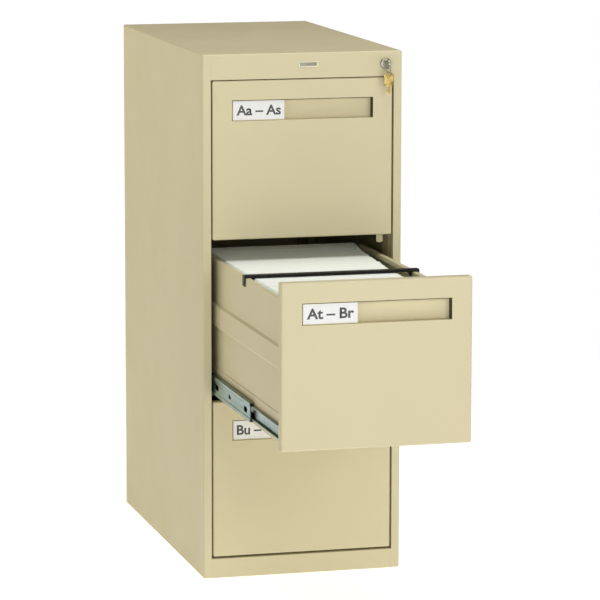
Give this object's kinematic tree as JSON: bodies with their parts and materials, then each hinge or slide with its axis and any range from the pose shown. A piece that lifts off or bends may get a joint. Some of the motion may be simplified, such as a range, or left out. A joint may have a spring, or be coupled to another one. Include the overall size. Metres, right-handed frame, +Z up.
{
  "type": "vertical filing cabinet",
  "caption": "Steel vertical filing cabinet with lockable full-extension letter-size drawers, recessed finger pulls with label cards, and a key lock in the header.",
  "frame": {"origin": "centre of the cabinet's footprint on the floor, without the open drawer", "axes": "+Z up, +Y from the drawer fronts to the back, +X to the right of a person facing the drawers"},
  "size_m": [0.381, 1.186, 0.984],
  "materials": {
    "case_paint": "satin putty powder coat",
    "slide_steel": "bright zinc plate",
    "black_plastic": "matt",
    "nameplate_metal": "satin",
    "lock_chrome": "polished",
    "key_nickel": "nickel plate",
    "key_brass": "worn",
    "label_paper": "plain white card"
  },
  "bodies": {
    "cabinet": {"side_panel_left": "case_paint", "side_panel_right": "case_paint", "top_panel": "case_paint", "back_panel": "case_paint", "base_pan": "case_paint", "toe_rail": "case_paint", "front_post_left": "case_paint", "front_post_right": "case_paint", "rear_post_left": "case_paint", "rear_post_right": "case_paint", "slide_screws": "slide_steel", "nameplate": "nameplate_metal", "lock_housing": "lock_chrome", "lock_clip": "slide_steel", "lock_bar_guides": "case_paint", "bottom_slide_outer": "slide_steel", "middle_slide_outer": "slide_steel", "top_slide_outer": "slide_steel"},
    "bottom_drawer": {"bottom_front": "case_paint", "bottom_pull_pan": "case_paint", "bottom_inner_front": "case_paint", "bottom_tray": "case_paint", "bottom_sides": "case_paint", "bottom_back": "case_paint", "bottom_slide_inner": "slide_steel", "bottom_label_holder": "case_paint", "bottom_label_card": "label_paper"},
    "bottom_slide_middles": {"bottom_slide_mid": "slide_steel", "bottom_slide_bumpers": "black_plastic"},
    "bottom_bar": {"bottom_crossbar": "black_plastic"},
    "middle_drawer": {"middle_front": "case_paint", "middle_pull_pan": "case_paint", "middle_inner_front": "case_paint", "middle_tray": "case_paint", "middle_sides": "case_paint", "middle_back": "case_paint", "middle_slide_inner": "slide_steel", "middle_label_holder": "case_paint", "middle_label_card": "label_paper"},
    "middle_slide_middles": {"middle_slide_mid": "slide_steel", "middle_slide_bumpers": "black_plastic"},
    "middle_bar": {"middle_crossbar": "black_plastic"},
    "top_drawer": {"top_front": "case_paint", "top_pull_pan": "case_paint", "top_inner_front": "case_paint", "top_tray": "case_paint", "top_sides": "case_paint", "top_back": "case_paint", "top_slide_inner": "slide_steel", "top_label_holder": "case_paint", "top_label_card": "label_paper"},
    "top_slide_middles": {"top_slide_mid": "slide_steel", "top_slide_bumpers": "black_plastic"},
    "top_bar": {"top_crossbar": "black_plastic"},
    "lock_plug": {"lock_plug": "lock_chrome", "lock_cam": "slide_steel"},
    "lock_bar": {"lock_bar": "case_paint"},
    "key": {"key": "key_nickel"},
    "key_ring": {"key_ring": "slide_steel"},
    "spare_key": {"spare_key": "key_brass"}
  },
  "joints": [
    {"name": "bottom_drawer_slide", "type": "slide", "parent": "cabinet", "child": "bottom_drawer", "axis": [0, -1, 0], "range_m": [0, 0.61]},
    {"name": "bottom_middles_slide", "type": "slide", "parent": "cabinet", "child": "bottom_slide_middles", "axis": [0, -1, 0], "range_m": [0, 0.366]},
    {"name": "bottom_crossbar_slide", "type": "slide", "parent": "bottom_drawer", "child": "bottom_bar", "axis": [0, 1, 0], "range_m": [-0.242, 0.302]},
    {"name": "middle_drawer_slide", "type": "slide", "parent": "cabinet", "child": "middle_drawer", "axis": [0, -1, 0], "range_m": [-0.5, 0.11]},
    {"name": "middle_middles_slide", "type": "slide", "parent": "cabinet", "child": "middle_slide_middles", "axis": [0, -1, 0], "range_m": [-0.3, 0.066]},
    {"name": "middle_crossbar_slide", "type": "slide", "parent": "middle_drawer", "child": "middle_bar", "axis": [0, 1, 0], "range_m": [-0.242, 0.302]},
    {"name": "top_drawer_slide", "type": "slide", "parent": "cabinet", "child": "top_drawer", "axis": [0, -1, 0], "range_m": [0, 0.61]},
    {"name": "top_middles_slide", "type": "slide", "parent": "cabinet", "child": "top_slide_middles", "axis": [0, -1, 0], "range_m": [0, 0.366]},
    {"name": "top_crossbar_slide", "type": "slide", "parent": "top_drawer", "child": "top_bar", "axis": [0, 1, 0], "range_m": [-0.242, 0.302]},
    {"name": "lock_turn", "type": "hinge", "parent": "cabinet", "child": "lock_plug", "pos_m": [0.1585, -0.343, 0.9605], "axis": [0, 1, 0], "range_deg": [0, 90.5]},
    {"name": "lock_bar_drop", "type": "slide", "parent": "cabinet", "child": "lock_bar", "axis": [0, 0, -1], "range_m": [0, 0.01]},
    {"name": "key_pull", "type": "slide", "parent": "lock_plug", "child": "key", "axis": [0, -1, 0], "range_m": [0, 0.03]},
    {"name": "key_ring_swing", "type": "hinge", "parent": "key", "child": "key_ring", "pos_m": [0.1585, -0.3647, 0.9588], "axis": [0.766, 0.6428, 0], "range_deg": [-15, 8]},
    {"name": "spare_key_swing", "type": "hinge", "parent": "key_ring", "child": "spare_key", "pos_m": [0.1585, -0.3647, 0.9448], "axis": [0.766, 0.6428, 0], "range_deg": [-15, 15]}
  ],
  "couplings": [
    {"joint": "bottom_middles_slide", "follows": "bottom_drawer_slide", "ratio": 0.6},
    {"joint": "middle_middles_slide", "follows": "middle_drawer_slide", "ratio": 0.6},
    {"joint": "top_middles_slide", "follows": "top_drawer_slide", "ratio": 0.6},
    {"joint": "lock_turn", "follows": "lock_bar_drop", "rad_per_m": 157.08}
  ]
}
